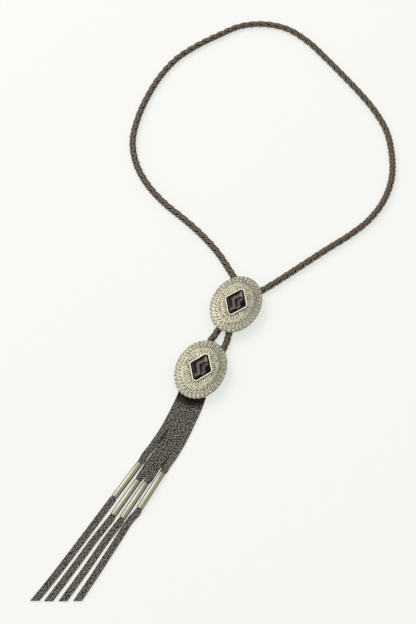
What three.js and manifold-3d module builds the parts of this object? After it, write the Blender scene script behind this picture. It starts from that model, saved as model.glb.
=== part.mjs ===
// Bolo tie laid flat on a surface: two oval silver conchos with lozenge stones, a braided leather cord
// that loops round from the lower concho through a slide behind the upper one and back, and a leather
// strap slit into four strips, each threaded through a metal tube bead.
//
// Millimetres, +Z up. The surface is z = 0 and the origin lies on it below the middle of the upper
// concho. +Y runs along that concho's long axis towards the loop, so the fringe points to -Y.

import * as THREE from "three";
import { mergeVertices } from "three/addons/utils/BufferGeometryUtils.js";
import Module from "manifold-3d";

const wasm = await Module();
wasm.setup();

// ---- Sizes ----------------------------------------------------------------------------------------

const CLEARANCE = 0.3; // between two pieces that touch on the real object

const LOOP_LENGTH = 230.9; // from the upper concho's middle to the loop's far end
const LOOP_WIDTH = 186.6;
const FRINGE_LENGTH = 173.8; // from the lower concho's middle to the longest strip's tip

const CORD_DIAMETER = 4.5;
const CORD_HEIGHT = 2.35; // middle of the cord above the surface where it lies
const CORD_SIDES = 8;

const CONCHO_LENGTH = 44.4; // 1 3/4 in, over the scallops
const CONCHO_WIDTH = 33;
const CONCHO_THICKNESS = 1.2;
const CONCHO_RIM = 5.2; // underside of the rim above the surface
const CONCHO_RISE = 2.6; // from the rim to the foot of the bezel
const CONCHO_STEPS = 80; // points round the oval, two for each scallop
const SCALLOPS = CONCHO_STEPS / 2;

const STONE_LENGTH = 20.8; // along the lozenge's long diagonal, corners taken as sharp
const STONE_WIDTH = 13.9;
const STONE_CUT = 0.94; // share of each half diagonal left where the corner is cut off
const STONE_HEIGHT = 2.5;
const STONE_BEVEL = 1.3; // width of the sloping facets round the table
const STONE_BEVEL_DROP = 0.9;
const BEZEL_WALL = 0.8;
const BEZEL_HEIGHT = 1.2; // above the dome
const SEAT_DEPTH = 0.7; // of the stone's seat below the dome's top

const SLIDE_LENGTH = 11; // along the cord
const SLIDE_SPREAD = 3.1; // from the middle to each cord's axis
const CLAMP_LENGTH = 12;
const CLAMP_SPREAD = 5.2;
const CLIP_WALL = 0.8;
const JAW_LENGTH = 5; // of the flat mouth that holds the strap

const LOWER_X = -1.3; // middle of the lower concho
const LOWER_Y = -52.6;
const LOWER_TURN = THREE.MathUtils.degToRad(1.5);

const LEATHER = 1.2; // thickness of strap and strips
const STRIP_WIDTH = 4.8; // at the free end; a strip is a little narrower above its bead
const STRIP_CHAMFER = 0.2;
const END_SLANT = THREE.MathUtils.degToRad(24.7); // direction of the cut across each strip's end

const BEAD_LENGTH = 26;
const BEAD_DIAMETER = 3.5;
const BEAD_WALL = 0.3;
const BEAD_SIDES = 18;

// ---- Sizes that follow from them ------------------------------------------------------------------

const cordRadius = CORD_DIAMETER / 2;
const channelRadius = cordRadius + CLEARANCE;
const channelHeight = CLIP_WALL + channelRadius; // middle of the cord inside a clip
const clipHeight = channelHeight + channelRadius + CLIP_WALL;
const beadRadius = BEAD_DIAMETER / 2;
const boreRadius = beadRadius - BEAD_WALL;
const jawSlot = LEATHER + 2 * CLEARANCE;
const stripUpper = STRIP_WIDTH * 0.9;
const jawWidth = STRIP_WIDTH * 3.55;
const seatHeight = CONCHO_RIM + CONCHO_THICKNESS + CONCHO_RISE - SEAT_DEPTH;

// ---- Materials ------------------------------------------------------------------------------------

const material = (color, roughness, metalness) =>
  new THREE.MeshStandardMaterial({ color, roughness, metalness });
const silver = () => material("#b9b49e", 0.42, 1);
const clipMetal = () => material("#9a978c", 0.4, 1);
const beadMetal = () => material("#c9c6b0", 0.32, 1);
const stone = () => material("#2a2225", 0.12, 0);
const cordLeather = () => material("#5a4c44", 0.65, 0);
const strapLeather = () => material("#4b443c", 0.7, 0);

// ---- Shape helpers --------------------------------------------------------------------------------

/**
 * Skins a run of rings with equally many points into one closed solid. Seen from the side that the
 * run heads for, each ring goes counterclockwise. A flat fan closes each end.
 */
function skin(rings) {
  const count = rings[0].length;
  const points = rings.flat();
  const middle = (ring) =>
    ring.reduce((sum, p) => sum.add(p), new THREE.Vector3()).divideScalar(count);
  const first = points.push(middle(rings[0])) - 1;
  const last = points.push(middle(rings.at(-1))) - 1;
  const index = [];
  for (let i = 0; i < count; i++) {
    const j = (i + 1) % count;
    for (let r = 0; r + 1 < rings.length; r++) {
      const [a, b] = [r * count + i, r * count + j];
      index.push(a, b, b + count, a, b + count, a + count);
    }
    const end = (rings.length - 1) * count;
    index.push(first, j, i, last, end + i, end + j);
  }
  const geometry = new THREE.BufferGeometry().setFromPoints(points);
  geometry.setIndex(index);
  geometry.computeVertexNormals();
  return geometry;
}

/** Turns a closed three.js geometry into a solid for joining and cutting. */
function toSolid(geometry) {
  const bare = geometry.clone();
  bare.deleteAttribute("normal");
  bare.deleteAttribute("uv");
  const merged = mergeVertices(bare, 1e-4);
  return new wasm.Manifold(new wasm.Mesh({
    numProp: 3,
    vertProperties: new Float32Array(merged.attributes.position.array),
    triVerts: new Uint32Array(merged.index.array),
  }));
}

/** Joins closed geometries into one. */
function join(...geometries) {
  const mesh = geometries.map(toSolid).reduce((whole, piece) => whole.add(piece)).getMesh();
  const geometry = new THREE.BufferGeometry();
  geometry.setAttribute("position", new THREE.BufferAttribute(mesh.vertProperties, 3));
  geometry.setIndex(new THREE.BufferAttribute(mesh.triVerts, 1));
  geometry.computeVertexNormals();
  return geometry;
}

/** Extrudes an outline drawn in x and z along y, from `from` down to `from - length`. */
function bar(shape, from, length) {
  const geometry = new THREE.ExtrudeGeometry(shape, {
    depth: length, bevelEnabled: false, curveSegments: 8,
  });
  return geometry.rotateX(Math.PI / 2).translate(0, from, 0);
}

// ---- Conchos --------------------------------------------------------------------------------------

/** The lozenge of the stone, grown on all sides by `grow`. */
function lozenge(grow = 0) {
  const [x, y] = [STONE_WIDTH / 2, STONE_LENGTH / 2];
  const side = Math.hypot(x, y);
  return {
    halfWidth: x + grow * side / y,
    halfLength: y + grow * side / x,
    cutX: x * STONE_CUT + grow,
    cutY: y * STONE_CUT + grow,
  };
}

/** Share of the concho's oval at which the ray through its point at `angle` leaves the lozenge. */
function lozengeShare(angle, { halfWidth, halfLength, cutX, cutY }) {
  const x = Math.abs(Math.cos(angle)) * CONCHO_WIDTH / 2;
  const y = Math.abs(Math.sin(angle)) * CONCHO_LENGTH / 2;
  return Math.min(1 / (x / halfWidth + y / halfLength), cutX / x, cutY / y);
}

/** One ring round the concho, from functions of the angle for its share of the oval and height. */
function ovalRing(share, height) {
  return Array.from({ length: CONCHO_STEPS }, (_, i) => {
    const angle = (i / CONCHO_STEPS) * 2 * Math.PI;
    const s = share(angle);
    return new THREE.Vector3(
      s * Math.cos(angle) * CONCHO_WIDTH / 2, s * Math.sin(angle) * CONCHO_LENGTH / 2, height(angle));
  });
}

/** Height of the plain dome over the rim, at a share of the oval from 0.5 out to the rim at 1. */
const dome = (share) => CONCHO_RISE * (1 - (2 * share - 1) ** 2);

// The relief, from the scalloped rim in to the bezel. Share of the oval, lift over the dome, and the
// number and half height of the bumps round the ring.
const RELIEF = [
  { share: 0.975, lift: 0.05, bumps: SCALLOPS, half: 0.12 },
  { share: 0.925, lift: 0.15, bumps: SCALLOPS, half: 0.15 },
  { share: 0.885, lift: -0.2, bumps: 0, half: 0 },
  { share: 0.865, lift: 0.1, bumps: 0, half: 0 },
  { share: 0.805, lift: 0.2, bumps: SCALLOPS / 2, half: 0.15 },
  { share: 0.745, lift: -0.05, bumps: 0, half: 0 },
  { share: 0.715, lift: 0.45, bumps: 0, half: 0 },
  { share: 0.68, lift: 0.45, bumps: 0, half: 0 },
  { share: 0.655, lift: -0.1, bumps: 0, half: 0 },
  { share: 0.6, lift: 0.05, bumps: SCALLOPS, half: 0.12 },
];

/** A domed oval shell with raised relief, and the bezel and seat for its stone. */
function concho() {
  const top = CONCHO_RIM + CONCHO_THICKNESS;
  const foot = top + CONCHO_RISE;
  const scalloped = (share) => (angle) => share * (1 - 0.012 * (1 - Math.cos(SCALLOPS * angle)));
  const round = (share) => () => share;
  const stoneEdge = (grow) => (angle) => lozengeShare(angle, lozenge(grow));
  const level = (height) => () => height;
  const under = (share) => ovalRing(round(share), level(CONCHO_RIM + dome(share) - SEAT_DEPTH * (share < 0.6)));
  return skin([
    under(0.5),
    under(0.62),
    under(0.82),
    ovalRing(round(0.955), level(CONCHO_RIM)),
    ovalRing(scalloped(1), level(CONCHO_RIM + 0.3)),
    ovalRing(scalloped(1), level(top - 0.3)),
    ...RELIEF.map(({ share, lift, bumps, half }) => ovalRing(
      round(share), (angle) => top + dome(share) + lift + half * Math.cos(bumps * angle) * (bumps > 0))),
    ovalRing(stoneEdge(CLEARANCE + BEZEL_WALL), level(foot)),
    ovalRing(stoneEdge(CLEARANCE + BEZEL_WALL * 0.75), level(foot + BEZEL_HEIGHT)),
    ovalRing(stoneEdge(CLEARANCE), level(foot + BEZEL_HEIGHT)),
    ovalRing(stoneEdge(CLEARANCE), level(seatHeight)),
  ]);
}

/** The stone: a lozenge with cut corners, upright sides, eight sloping facets and a flat table. */
function faceted() {
  const ring = (grow, z) => {
    const { halfWidth, halfLength, cutX, cutY } = lozenge(grow);
    const [x, y] = [halfWidth * (1 - cutY / halfLength), halfLength * (1 - cutX / halfWidth)];
    const corners = [[cutX, -y], [cutX, y], [x, cutY], [-x, cutY], [-cutX, y], [-cutX, -y], [-x, -cutY], [x, -cutY]];
    return corners.map(([px, py]) => new THREE.Vector3(px, py, z));
  };
  const base = seatHeight + CLEARANCE;
  const table = base + STONE_HEIGHT;
  return skin([ring(0, base), ring(0, table - STONE_BEVEL_DROP), ring(-STONE_BEVEL, table)]);
}

// ---- Clips ----------------------------------------------------------------------------------------

/** Outline of a clip in x and z with rounded shoulders and two channels for the cord. */
function channelled(spread) {
  const half = spread + channelRadius + CLIP_WALL;
  const shoulder = channelRadius * 0.7;
  const shape = new THREE.Shape();
  shape.moveTo(-half, 0);
  shape.lineTo(half, 0);
  shape.lineTo(half, clipHeight - shoulder);
  shape.lineTo(half - shoulder, clipHeight);
  shape.lineTo(-half + shoulder, clipHeight);
  shape.lineTo(-half, clipHeight - shoulder);
  for (const x of [-spread, spread]) {
    const hole = new THREE.Path();
    hole.absarc(x, channelHeight, channelRadius, 0, 2 * Math.PI, true);
    shape.holes.push(hole);
  }
  return shape;
}

/** The slide behind the upper concho: both runs of the cord pass through it and grip by friction. */
const slide = () => bar(channelled(SLIDE_SPREAD), SLIDE_LENGTH / 2 - 1.5, SLIDE_LENGTH);

/** The clamp behind the lower concho: the cord's ends sit in its channels, the strap in its jaw. */
function clamp() {
  const half = jawWidth / 2 + CLEARANCE;
  const jaw = new THREE.Shape();
  const outer = half + CLIP_WALL;
  const height = jawSlot + 2 * CLIP_WALL;
  jaw.moveTo(-outer, 0);
  jaw.lineTo(outer, 0);
  jaw.lineTo(outer, height);
  jaw.lineTo(-outer, height);
  const slot = new THREE.Path();
  slot.moveTo(-half, CLIP_WALL);
  slot.lineTo(-half, CLIP_WALL + jawSlot);
  slot.lineTo(half, CLIP_WALL + jawSlot);
  slot.lineTo(half, CLIP_WALL);
  jaw.holes.push(slot);
  const overlap = 1;
  return join(
    bar(channelled(CLAMP_SPREAD), CLAMP_LENGTH / 2, CLAMP_LENGTH),
    bar(jaw, -CLAMP_LENGTH / 2 + overlap, JAW_LENGTH + overlap),
  );
}

// ---- Cord -----------------------------------------------------------------------------------------

/** A point given from the lower concho's middle, in the frame of the whole tie. */
const fromLower = (x, y, z) =>
  new THREE.Vector3(x, y, z).applyAxisAngle(new THREE.Vector3(0, 0, 1), LOWER_TURN)
    .add(new THREE.Vector3(LOWER_X, LOWER_Y, 0));

const raised = (x, y) => new THREE.Vector3(x, y, channelHeight);
const lying = (x, y) => new THREE.Vector3(x, y, CORD_HEIGHT);

/** The cord's route. Its steps fall evenly between the points, so short bends get short steps. */
class CordRoute extends THREE.CatmullRomCurve3 {
  getPointAt(share, target) {
    return this.getPoint(share, target);
  }

  getTangentAt(share, target) {
    return this.getTangent(share, target);
  }
}

// The loop, clockwise from the upper concho's left side to its right, as shares [x, y] of the
// loop's width and length.
const LOOP = [
  [-0.071, 0.096], [-0.148, 0.141], [-0.233, 0.177], [-0.321, 0.205], [-0.411, 0.230], [-0.499, 0.265],
  [-0.581, 0.318], [-0.644, 0.391], [-0.675, 0.477], [-0.687, 0.566], [-0.685, 0.655], [-0.664, 0.741],
  [-0.621, 0.814], [-0.565, 0.883], [-0.503, 0.948], [-0.421, 0.988], [-0.326, 1.000], [-0.227, 0.979],
  [-0.133, 0.941], [-0.041, 0.900], [0.049, 0.858], [0.135, 0.811], [0.211, 0.753], [0.268, 0.677],
  [0.305, 0.596], [0.313, 0.510], [0.294, 0.430], [0.255, 0.359], [0.208, 0.294], [0.162, 0.228],
  [0.118, 0.164], [0.074, 0.102],
];

const route = new CordRoute([
  fromLower(-CLAMP_SPREAD, -CLAMP_LENGTH / 2 + 1.5, channelHeight),
  fromLower(-CLAMP_SPREAD, CLAMP_LENGTH / 2 + 1, channelHeight),
  lying(-5.6, -35).setZ(2.75),
  lying(-4.2, -26).setZ(2.45),
  lying(-SLIDE_SPREAD, -17).setZ(2.75),
  raised(-SLIDE_SPREAD, -8.5),
  raised(-SLIDE_SPREAD, 1),
  raised(-SLIDE_SPREAD, 7.5),
  lying(-4.4, 13).setZ(3),
  lying(-7.6, 17.8).setZ(2.5),
  ...LOOP.map(([x, y]) => lying(x * LOOP_WIDTH, y * LOOP_LENGTH)),
  lying(8.6, 15.4).setZ(2.6),
  lying(4.4, 10.2).setZ(3.1),
  raised(SLIDE_SPREAD, 5.2),
  raised(SLIDE_SPREAD, -1.5),
  raised(SLIDE_SPREAD, -8.5),
  lying(3.5, -17).setZ(2.75),
  lying(5, -26).setZ(2.45),
  lying(5.2, -35).setZ(2.75),
  fromLower(CLAMP_SPREAD, CLAMP_LENGTH / 2 + 1, channelHeight),
  fromLower(CLAMP_SPREAD, -CLAMP_LENGTH / 2 + 1.5, channelHeight),
]);

function cord() {
  const section = new THREE.Shape(Array.from({ length: CORD_SIDES }, (_, i) => {
    const angle = ((i + 0.5) / CORD_SIDES) * 2 * Math.PI;
    return new THREE.Vector2(cordRadius * Math.cos(angle), cordRadius * Math.sin(angle));
  }));
  const steps = 2 * (route.points.length - 1);
  return new THREE.ExtrudeGeometry(section, { steps, extrudePath: route, bevelEnabled: false });
}

// ---- Strap, strips and beads ----------------------------------------------------------------------

// Places on the fringe are [aside, down]: aside is in strip widths to the right of the lower concho's
// middle, and down is the share of the fringe's length below it.
const place = ([aside, down], height) =>
  new THREE.Vector3(LOWER_X + aside * STRIP_WIDTH, LOWER_Y - down * FRINGE_LENGTH, height);

// Middle line of the strap below the jaw, with its width in strip widths.
const STRAP = [
  { at: [0.29, 0.086], width: 3.69 },
  { at: [0.46, 0.129], width: 3.75 },
  { at: [0.52, 0.181], width: 3.73 },
  { at: [0.53, 0.244], width: 3.77 },
];

// Middle line of each strip above its bead, the bead's middle and its lean, and the line below it.
const STRIPS = [
  {
    above: [[-0.91, 0.227], [-1, 0.273], [-1.25, 0.33], [-1.54, 0.379]],
    bead: [-2.23, 0.484], lean: 9.8,
    below: [[-3.17, 0.658], [-3.69, 0.743], [-4.21, 0.826], [-4.77, 0.91], [-5.4, 0.993]],
  },
  {
    above: [[0.05, 0.227], [-0.02, 0.273], [-0.23, 0.33], [-0.6, 0.402]],
    bead: [-1.35, 0.544], lean: 8.2,
    below: [[-2.35, 0.726], [-2.83, 0.809], [-3.33, 0.891], [-3.87, 0.975]],
  },
  {
    above: [[1.01, 0.227], [0.98, 0.273], [0.79, 0.33], [0.42, 0.402]],
    bead: [-0.21, 0.541], lean: 6.8,
    below: [[-0.98, 0.708], [-1.38, 0.791], [-1.81, 0.872], [-2.29, 0.955]],
  },
  {
    above: [[1.97, 0.227], [1.96, 0.273], [1.81, 0.33], [1.54, 0.382]],
    bead: [1.15, 0.484], lean: 5.7,
    below: [[0.6, 0.612], [0.31, 0.692], [0, 0.773], [-0.31, 0.853], [-0.69, 0.934]],
  },
];

/** A flat leather section across `direction`, as eight points round its middle. */
function leatherRing(middle, direction, width, thickness, chamfer, slant) {
  const up = new THREE.Vector3(0, 0, 1);
  const square = new THREE.Vector3().crossVectors(up, direction).normalize();
  const across = slant === undefined ? square : new THREE.Vector3(Math.cos(slant), Math.sin(slant), 0);
  const [w, t] = [width / 2 / across.dot(square), thickness / 2];
  const corners = [
    [w, -t + chamfer], [w, t - chamfer], [w - chamfer, t], [chamfer - w, t],
    [-w, t - chamfer], [-w, -t + chamfer], [chamfer - w, -t], [w - chamfer, -t],
  ];
  return corners.map(([a, b]) => middle.clone().addScaledVector(across, a).addScaledVector(up, b));
}

/** Directions along a line of points, each from the point before it to the point after it. */
const directions = (points) => points.map((_, i) =>
  points[Math.min(i + 1, points.length - 1)].clone().sub(points[Math.max(i - 1, 0)]).setZ(0).normalize());

/** The bead's two ends, and the vector from its middle to the lower one. */
function beadEnds({ bead: at, lean }) {
  const turn = THREE.MathUtils.degToRad(lean);
  const half = new THREE.Vector3(-Math.sin(turn), -Math.cos(turn), 0).multiplyScalar(BEAD_LENGTH / 2);
  const middle = place(at, beadRadius);
  return { start: middle.clone().sub(half), end: middle.clone().add(half), half };
}

/** One strip: flat above its bead, rolled narrow inside it, flat again below, with a slanted end. */
function strip(plan) {
  const { start, end, half } = beadEnds(plan);
  const along = half.clone().normalize();
  const flat = (at, width) => ({ at: at.setZ(LEATHER / 2), width, rolled: false });
  const rolled = (at) => ({ at, width: 2 * (boreRadius - CLEARANCE) * 0.91, rolled: true });
  const beside = (point, offset) => point.clone().addScaledVector(along, offset);
  const rows = [
    ...plan.above.map((at) => flat(place(at, 0), stripUpper)),
    flat(beside(start, -LEATHER * 1.8), stripUpper),
    rolled(beside(start, -LEATHER / 3)),
    rolled(beside(start, half.length())),
    rolled(beside(end, LEATHER / 3)),
    flat(beside(end, LEATHER * 1.8), stripUpper),
    flat(beside(end, LEATHER * 5), STRIP_WIDTH),
    ...plan.below.map((at) => flat(place(at, 0), STRIP_WIDTH)),
  ];
  const headings = directions(rows.map(({ at }) => at));
  return skin(rows.map(({ at, width, rolled: narrow }, i) => leatherRing(
    at, headings[i], width, narrow ? width * 0.9 : LEATHER, narrow ? width * 0.24 : STRIP_CHAMFER,
    i === rows.length - 1 ? END_SLANT : undefined)));
}

/** Strap and strips cut from one piece of leather. */
function fringe() {
  const behindClamp = -CLAMP_LENGTH / 2 - CLEARANCE;
  const inJaw = CLIP_WALL + jawSlot / 2;
  const points = [
    fromLower(0, behindClamp, inJaw),
    fromLower(0, behindClamp - JAW_LENGTH - 0.5, inJaw),
    ...STRAP.map(({ at }) => place(at, LEATHER / 2)),
  ];
  const widths = [jawWidth, jawWidth, ...STRAP.map(({ width }) => width * STRIP_WIDTH)];
  const headings = directions(points);
  const strap = skin(points.map((at, i) =>
    leatherRing(at, headings[i], widths[i], LEATHER, STRIP_CHAMFER)));
  return join(strap, ...STRIPS.map(strip));
}

/** A tube bead on its strip, made upright and then laid along the strip. */
function bead(plan) {
  const profile = [
    [boreRadius, -BEAD_LENGTH / 2], [beadRadius, -BEAD_LENGTH / 2],
    [beadRadius, BEAD_LENGTH / 2], [boreRadius, BEAD_LENGTH / 2], [boreRadius, -BEAD_LENGTH / 2],
  ].map(([x, y]) => new THREE.Vector2(x, y));
  const mesh = new THREE.Mesh(new THREE.LatheGeometry(profile, BEAD_SIDES), beadMetal());
  const { start, end, half } = beadEnds(plan);
  mesh.position.copy(start.add(end).multiplyScalar(0.5));
  mesh.quaternion.setFromUnitVectors(new THREE.Vector3(0, 1, 0), half.normalize());
  return mesh;
}

// ---- The whole tie --------------------------------------------------------------------------------

function named(name, mesh) {
  mesh.name = name;
  return mesh;
}

const upper = new THREE.Group();
upper.add(
  named("upper_concho", new THREE.Mesh(concho(), silver())),
  named("upper_stone", new THREE.Mesh(faceted(), stone())),
  named("slide_clip", new THREE.Mesh(slide(), clipMetal())),
);

const lower = new THREE.Group();
lower.position.set(LOWER_X, LOWER_Y, 0);
lower.rotation.z = LOWER_TURN;
lower.add(
  named("lower_concho", new THREE.Mesh(concho(), silver())),
  named("lower_stone", new THREE.Mesh(faceted(), stone())),
  named("end_clamp", new THREE.Mesh(clamp(), clipMetal())),
);

const tie = new THREE.Group();
tie.add(
  upper,
  lower,
  named("cord", new THREE.Mesh(cord(), cordLeather())),
  named("fringe", new THREE.Mesh(fringe(), strapLeather())),
  ...STRIPS.map((plan, i) => named(`tube_bead_${i + 1}`, bead(plan))),
);

export default tie;
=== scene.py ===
"""Looks of a bolo tie laid flat on a pale table top.

Two cast silver conchos with dark lozenge stones, a braided leather cord, and a pebbled leather strap
slit into four strips with a satin metal tube on each. Metres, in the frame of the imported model.
"""

import logging
import math
from dataclasses import dataclass, field
from enum import Enum

import bmesh
import bpy
import numpy as np
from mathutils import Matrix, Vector


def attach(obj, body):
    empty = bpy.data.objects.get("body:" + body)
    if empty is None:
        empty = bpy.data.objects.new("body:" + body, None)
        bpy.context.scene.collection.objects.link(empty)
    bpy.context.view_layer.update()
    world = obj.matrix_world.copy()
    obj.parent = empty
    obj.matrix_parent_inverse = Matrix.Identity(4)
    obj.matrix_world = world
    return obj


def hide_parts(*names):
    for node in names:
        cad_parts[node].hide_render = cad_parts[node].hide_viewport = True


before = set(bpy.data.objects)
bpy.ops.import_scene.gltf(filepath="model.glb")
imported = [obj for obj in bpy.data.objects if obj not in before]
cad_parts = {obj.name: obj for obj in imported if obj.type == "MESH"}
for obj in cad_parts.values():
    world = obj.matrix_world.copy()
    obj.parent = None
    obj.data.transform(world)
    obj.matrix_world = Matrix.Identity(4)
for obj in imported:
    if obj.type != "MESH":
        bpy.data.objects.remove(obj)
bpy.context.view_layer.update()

log = logging.getLogger("bolo_tie")

MM = 0.001
UP = Vector((0, 0, 1))
Point = tuple[float, float, float]
Colour = tuple[float, float, float, float]
Span = tuple[float, float]
Socket = bpy.types.NodeSocket

# The lie of the whole tie, the same as in the solid model.
LOOP_LENGTH = 230.9 * MM
LOOP_WIDTH = 186.6 * MM
FRINGE_LENGTH = 173.8 * MM
STRIP_WIDTH = 4.8 * MM
CONCHO_LENGTH = 43.2 * MM
CONCHO_WIDTH = 32.6 * MM
LOWER_MIDDLE = (-1.3 * MM, -52.6 * MM)
LOWER_TURN = math.radians(1.5)


# ---- Shader helpers ---------------------------------------------------------------------------------


def srgb(code: str) -> Colour:
    """Turns an sRGB hex colour to linear.

    Args:
        code: The colour as "#rrggbb".

    Returns:
        Linear red, green, blue and an alpha of 1.
    """
    parts = [int(code[i : i + 2], 16) / 255 for i in (1, 3, 5)]
    linear = [c / 12.92 if c <= 0.04045 else ((c + 0.055) / 1.055) ** 2.4 for c in parts]
    return (linear[0], linear[1], linear[2], 1.0)


@dataclass
class Nodes:
    """A node tree, grown by short calls that each return the output of the node they add."""

    tree: bpy.types.NodeTree

    def feed(self, node: bpy.types.Node, inputs: dict[str | int, object]) -> None:
        """Sets a node's inputs.

        Args:
            node: The node.
            inputs: Socket name or number, to a value or to the output that feeds it.
        """
        for socket, value in inputs.items():
            if isinstance(value, Socket):
                self.tree.links.new(value, node.inputs[socket])
            else:
                node.inputs[socket].default_value = value

    def add(
        self, kind: str, out: str | int, inputs: dict[str | int, object] | None = None, **settings: object
    ) -> Socket:
        """Adds one node.

        Args:
            kind: The node's type name, without "ShaderNode".
            out: Name or number of the output that is wanted.
            inputs: Socket name or number, to a value or to the output that feeds it.
            settings: Properties of the node.

        Returns:
            The wanted output.
        """
        made = self.tree.nodes.new(f"ShaderNode{kind}")
        for name, value in settings.items():
            setattr(made, name, value)
        self.feed(made, inputs or {})
        return made.outputs[out]

    def place(self) -> Socket:
        """Returns a point's place on its piece, in metres."""
        return self.add("TexCoord", "Object")

    def attribute(self, name: str) -> Socket:
        """Returns the number that the piece stores at a point."""
        return self.add("Attribute", "Fac", attribute_name=name)

    def split(self, vector: Socket) -> list[Socket]:
        """Returns the three parts of a vector."""
        return list(self.add("SeparateXYZ", 0, {0: vector}).node.outputs)

    def math(self, operation: str, *values: Socket | float, **settings: object) -> Socket:
        """Returns a sum, a product or the like of some values."""
        return self.add("Math", 0, dict(enumerate(values)), operation=operation, **settings)

    def vector(self, operation: str, out: str, *values: object) -> Socket:
        """Returns the like for vectors."""
        return self.add("VectorMath", out, dict(enumerate(values)), operation=operation)

    def noise(
        self, place: Socket, scale: float, detail: float = 2.0, roughness: float = 0.5, out: str = "Fac"
    ) -> Socket:
        """Returns soft noise with about scale humps to a unit of length."""
        inputs = {"Vector": place, "Scale": scale, "Detail": detail, "Roughness": roughness}
        return self.add("TexNoise", out, inputs)

    def remap(
        self, value: Socket, span: Span = (0.0, 1.0), to: Span = (0.0, 1.0), **settings: object
    ) -> Socket:
        """Returns a value carried over from one span to another and held at its ends."""
        inputs = {"Value": value, "From Min": span[0], "From Max": span[1], "To Min": to[0], "To Max": to[1]}
        return self.add("MapRange", "Result", inputs, **settings)

    def ramp(self, value: Socket, *stops: tuple[float, str]) -> Socket:
        """Returns a colour that runs through stops, given as places and sRGB codes."""
        colour = self.add("ValToRGB", "Color", {"Fac": value})
        elements = colour.node.color_ramp.elements
        while len(elements) < len(stops):
            elements.new(1.0)
        for element, (place, code) in zip(elements, stops):
            element.position, element.color = place, srgb(code)
        return colour

    def mix(self, factor: Socket, first: Socket | Colour, second: Socket | Colour) -> Socket:
        """Returns the first colour where the factor is 0 and the second where it is 1."""
        return self.add("Mix", 2, {"Factor": factor, "A": first, "B": second}, data_type="RGBA")

    def bump(
        self, height: Socket, strength: float, distance: float, over: Socket | None = None,
        sunk: bool = False,
    ) -> Socket:
        """Returns the normal of a bumpy surface.

        Args:
            height: Height of the bumps, from 0 to 1.
            strength: How much of the bump is taken.
            distance: How high it stands, in metres.
            over: The normal of a coarser bump under this one.
            sunk: Whether a greater height lies deeper.

        Returns:
            The normal.
        """
        inputs = {"Strength": strength, "Distance": distance, "Height": height}
        if over is not None:
            inputs["Normal"] = over
        return self.add("Bump", "Normal", inputs, invert=sunk)

    def shade(self, inputs: dict[str, object]) -> None:
        """Sets the inputs of the material's own shader."""
        self.feed(next(n for n in self.tree.nodes if n.type == "BSDF_PRINCIPLED"), inputs)


def new_material(name: str) -> tuple[bpy.types.Material, Nodes]:
    """Makes an empty material and returns it with its nodes."""
    made = bpy.data.materials.new(name)
    made.use_nodes = True
    return made, Nodes(made.node_tree)


# ---- Mesh helpers -----------------------------------------------------------------------------------


def new_mesh(name: str, points: np.ndarray, faces: list) -> bpy.types.Object:
    """Makes a mesh object at the origin.

    Args:
        name: The piece's name.
        points: Its vertices, one row each.
        faces: Vertex numbers of each face.

    Returns:
        The object, linked to the scene.
    """
    mesh = bpy.data.meshes.new(name)
    mesh.from_pydata([tuple(p) for p in points], [], [tuple(int(i) for i in f) for f in faces])
    mesh.update()
    made = bpy.data.objects.new(name, mesh)
    bpy.context.scene.collection.objects.link(made)
    return made


def deselect() -> None:
    """Deselects everything."""
    for other in bpy.context.selected_objects:
        other.select_set(False)


def only(obj: bpy.types.Object) -> None:
    """Makes an object the only selected and active one."""
    deselect()
    obj.select_set(True)
    bpy.context.view_layer.objects.active = obj


def modify(obj: bpy.types.Object, kind: str, **settings: object) -> None:
    """Adds a modifier and applies it.

    Args:
        obj: The piece.
        kind: The modifier's type.
        settings: Its properties.
    """
    only(obj)
    added = obj.modifiers.new(kind.title(), kind)
    for name, value in settings.items():
        setattr(added, name, value)
    bpy.ops.object.modifier_apply(modifier=added.name)


def shade_smooth(obj: bpy.types.Object, degrees: float) -> None:
    """Shades a piece smooth, but for edges that turn by more than some degrees."""
    only(obj)
    bpy.ops.object.shade_smooth_by_angle(angle=math.radians(degrees))


def paint(obj: bpy.types.Object, name: str, values: np.ndarray) -> None:
    """Stores one number for each vertex, for the material to read."""
    layer = obj.data.attributes.new(name, "FLOAT", "POINT")
    layer.data.foreach_set("value", np.asarray(values, np.float32))


def coords(obj: bpy.types.Object) -> np.ndarray:
    """Returns the vertices of a piece, one row each."""
    flat = np.empty(len(obj.data.vertices) * 3, np.float32)
    obj.data.vertices.foreach_get("co", flat)
    return flat.reshape(-1, 3).astype(float)


def set_coords(obj: bpy.types.Object, points: np.ndarray) -> None:
    """Moves the vertices of a piece."""
    obj.data.vertices.foreach_set("co", np.asarray(points, np.float32).ravel())
    obj.data.update()


def declare(obj: bpy.types.Object, node: str) -> None:
    """Names a piece and tells the frame about it.

    Args:
        obj: The piece.
        node: The solid that it takes the place of.
    """
    obj.name = f"{node}_look"
    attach(obj, "root")
    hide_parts(node)


def smooth(low: float, high: float, value: np.ndarray | float) -> np.ndarray:
    """Returns 0 below low and 1 above high, with a smooth step between; low may be the greater."""
    t = np.clip((value - low) / (high - low), 0, 1)
    return t * t * (3 - 2 * t)


def mound(*offsets: np.ndarray) -> np.ndarray:
    """Returns 1 where all offsets are 0, falling to 0 where they are 1 away together."""
    return np.clip(1 - sum(offset**2 for offset in offsets), 0, 1)


def furrow(offset: np.ndarray) -> np.ndarray:
    """Returns 1 where the offset is 0, with a soft fall to both sides."""
    return np.exp(-(offset**2))


def from_lower(x: float, y: float, z: float) -> Point:
    """Places a point given from the lower concho's middle in the frame of the whole tie."""
    c, s = math.cos(LOWER_TURN), math.sin(LOWER_TURN)
    return (LOWER_MIDDLE[0] + x * c - y * s, LOWER_MIDDLE[1] + x * s + y * c, z)


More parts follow.
